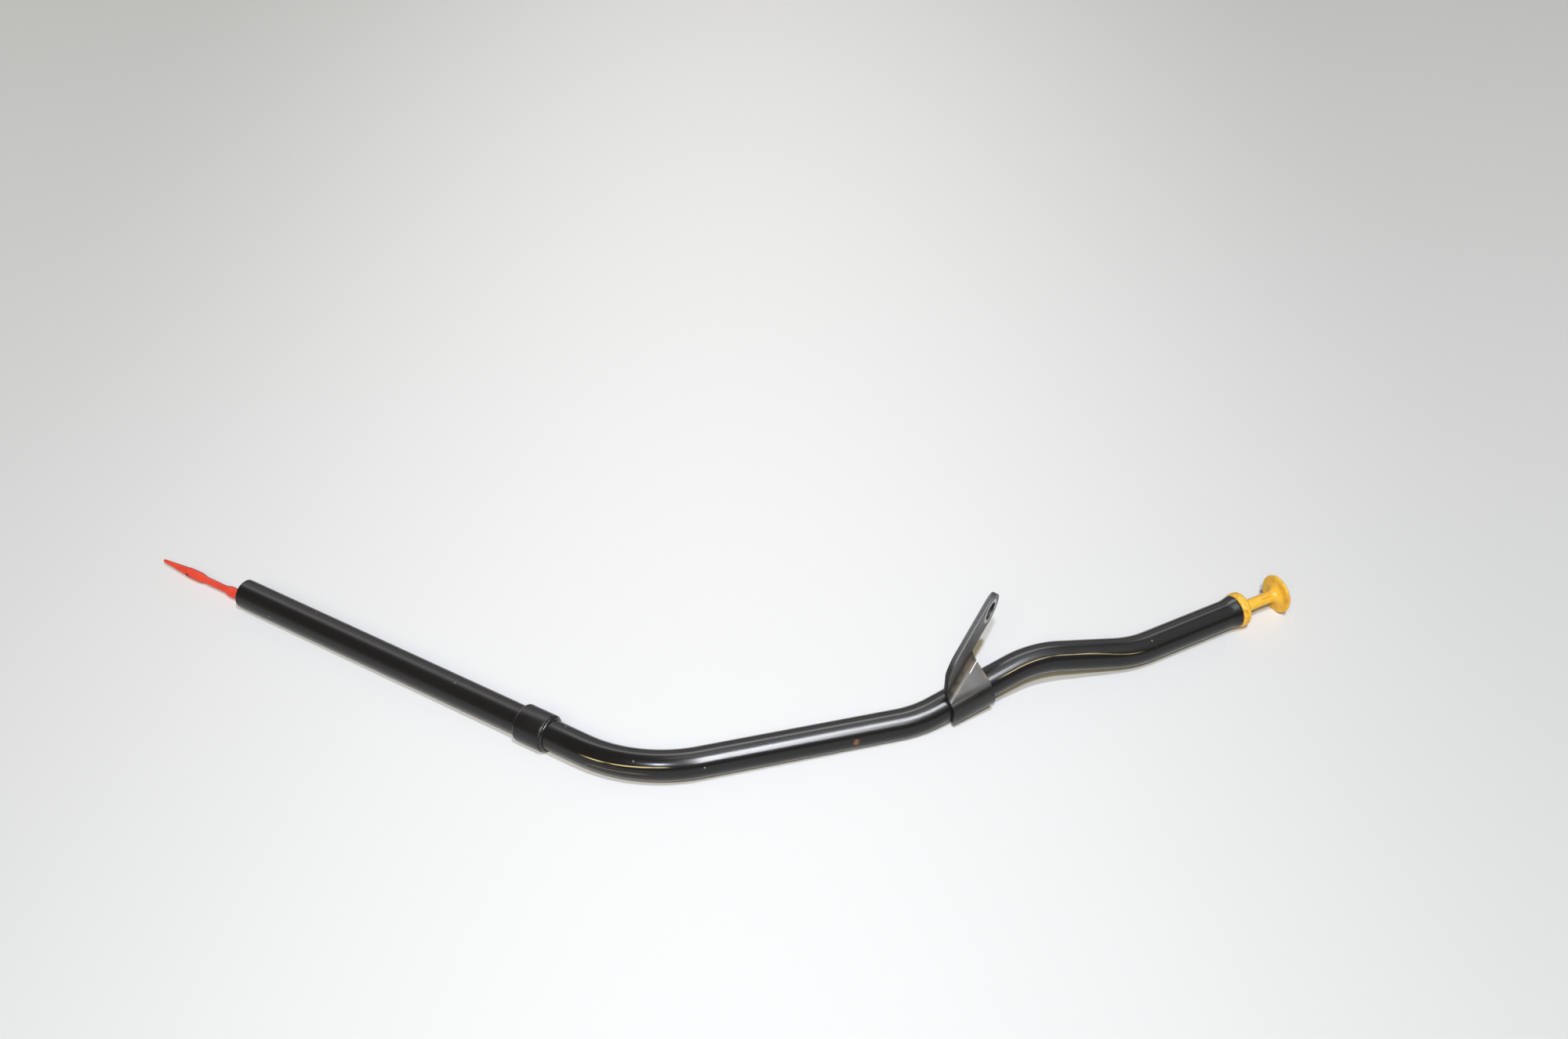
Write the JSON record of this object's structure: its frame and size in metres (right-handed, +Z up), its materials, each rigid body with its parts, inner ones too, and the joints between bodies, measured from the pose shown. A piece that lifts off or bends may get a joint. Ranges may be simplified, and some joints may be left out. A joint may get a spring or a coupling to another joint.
{
  "type": "engine oil dipstick",
  "caption": "Engine oil dipstick lying in its bent black guide tube, with a yellow pull handle, a red measuring tip, a brazed seat collar and a folded bolt-on bracket.",
  "frame": {"origin": "on the floor that the part lies on, under the middle of its box, with the dipstick pushed home", "axes": "+X along the part from the measuring tip to the handle, +Y across it, away from the side of the long bend, +Z up"},
  "size_m": [0.5466, 0.1642, 0.0535],
  "materials": {
    "tube_enamel": "satin black",
    "collar_enamel": "satin black",
    "bracket_steel": "worn, with rust",
    "yellow_plastic": "worn gloss",
    "seal_rubber": "matt black",
    "cable_steel": "drawn steel",
    "red_plastic": "satin"
  },
  "bodies": {
    "tube": {"guide_tube": "tube_enamel", "stop_collar": "collar_enamel", "mounting_bracket": "bracket_steel", "dipstick_cable": "cable_steel"},
    "handle": {"handle": "yellow_plastic", "seal_ring": "seal_rubber"},
    "tip": {"measuring_tip": "red_plastic"}
  },
  "joints": [
    {"name": "dipstick_pull", "type": "slide", "parent": "tube", "child": "handle", "axis": [0.859, 0.512, -0.002], "range_m": [0, 0.06], "deforming": ["dipstick_cable"]},
    {"name": "tip_draw", "type": "slide", "parent": "tube", "child": "tip", "axis": [0.829, -0.5592, 0.0102], "range_m": [0, 0.06], "deforming": ["dipstick_cable"]}
  ],
  "couplings": [
    {"joint": "tip_draw", "follows": "dipstick_pull", "ratio": 1}
  ]
}
